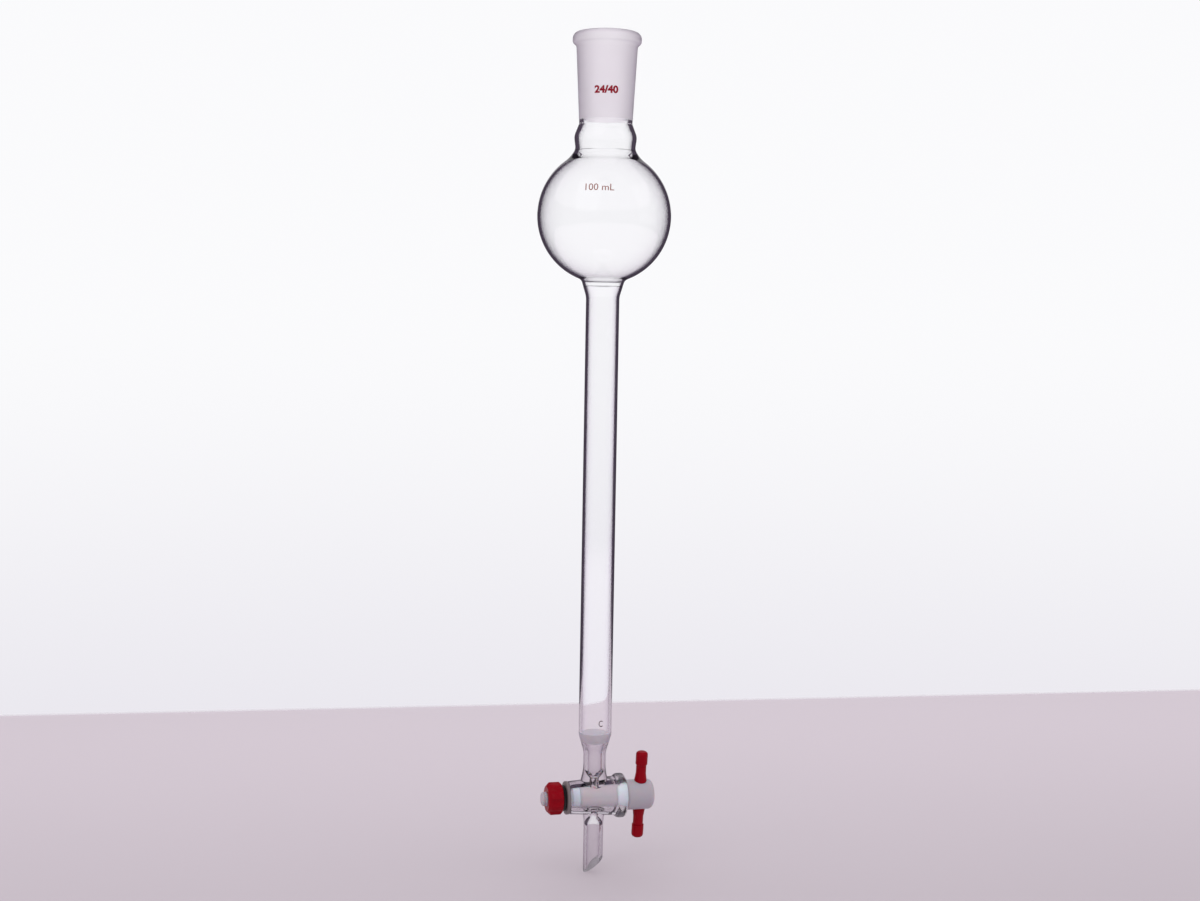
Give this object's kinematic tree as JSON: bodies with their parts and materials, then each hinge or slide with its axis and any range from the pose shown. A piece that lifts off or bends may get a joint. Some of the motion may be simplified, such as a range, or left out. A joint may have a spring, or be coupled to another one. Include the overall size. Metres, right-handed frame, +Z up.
{
  "type": "chromatography column",
  "caption": "Glass flash chromatography column: ground socket over a round reservoir, straight tube on a sintered disc, plastic-plug stopcock with bar handle and a slanted drip tip.",
  "frame": {"origin": "on the column axis at the top face of the sintered disc", "axes": "+Z up the column axis, +X along the stopcock towards its bar handle, -Y towards the viewer"},
  "size_m": [0.06, 0.06, 0.38],
  "materials": {
    "clear_glass": "clear borosilicate, fire polished",
    "ground_glass": "clear outside, fine ground taper inside",
    "sintered_glass": "coarse sintered grain",
    "plug_plastic": "translucent fluoroplastic",
    "seal_plastic": "white fluoroplastic",
    "red_plastic": "moulded, satin gloss",
    "washer_plastic": "white fluoroplastic",
    "black_rubber": "smooth"
  },
  "bodies": {
    "glass": {"ground_socket": "ground_glass", "neck": "clear_glass", "reservoir_bulb": "clear_glass", "column_tube": "clear_glass", "fritted_disc": "sintered_glass", "lower_taper": "clear_glass", "stopcock_barrel": "clear_glass", "drip_tip": "clear_glass"},
    "plug": {"stopcock_plug": "plug_plastic", "handle_bar": "red_plastic", "seal_ring_nut_side": "seal_plastic", "seal_ring_handle_side": "seal_plastic"},
    "tension_seal": {"tension_washer": "washer_plastic", "tension_o_ring": "black_rubber"},
    "tension_nut": {"tension_nut": "red_plastic"}
  },
  "joints": [
    {"name": "plug_turn", "type": "hinge", "parent": "glass", "child": "plug", "pos_m": [0, 0, -0.03], "axis": [1, 0, 0], "continuous": true},
    {"name": "washer_slide", "type": "slide", "parent": "plug", "child": "tension_seal", "axis": [-1, 0, 0], "range_m": [0, 0.006]},
    {"name": "nut_turn", "type": "hinge", "parent": "tension_seal", "child": "tension_nut", "pos_m": [-0.019, 0, -0.03], "axis": [-1, 0, 0], "range_deg": [0, 1441]}
  ],
  "couplings": [
    {"joint": "nut_turn", "follows": "washer_slide", "rad_per_m": 4188.8}
  ]
}
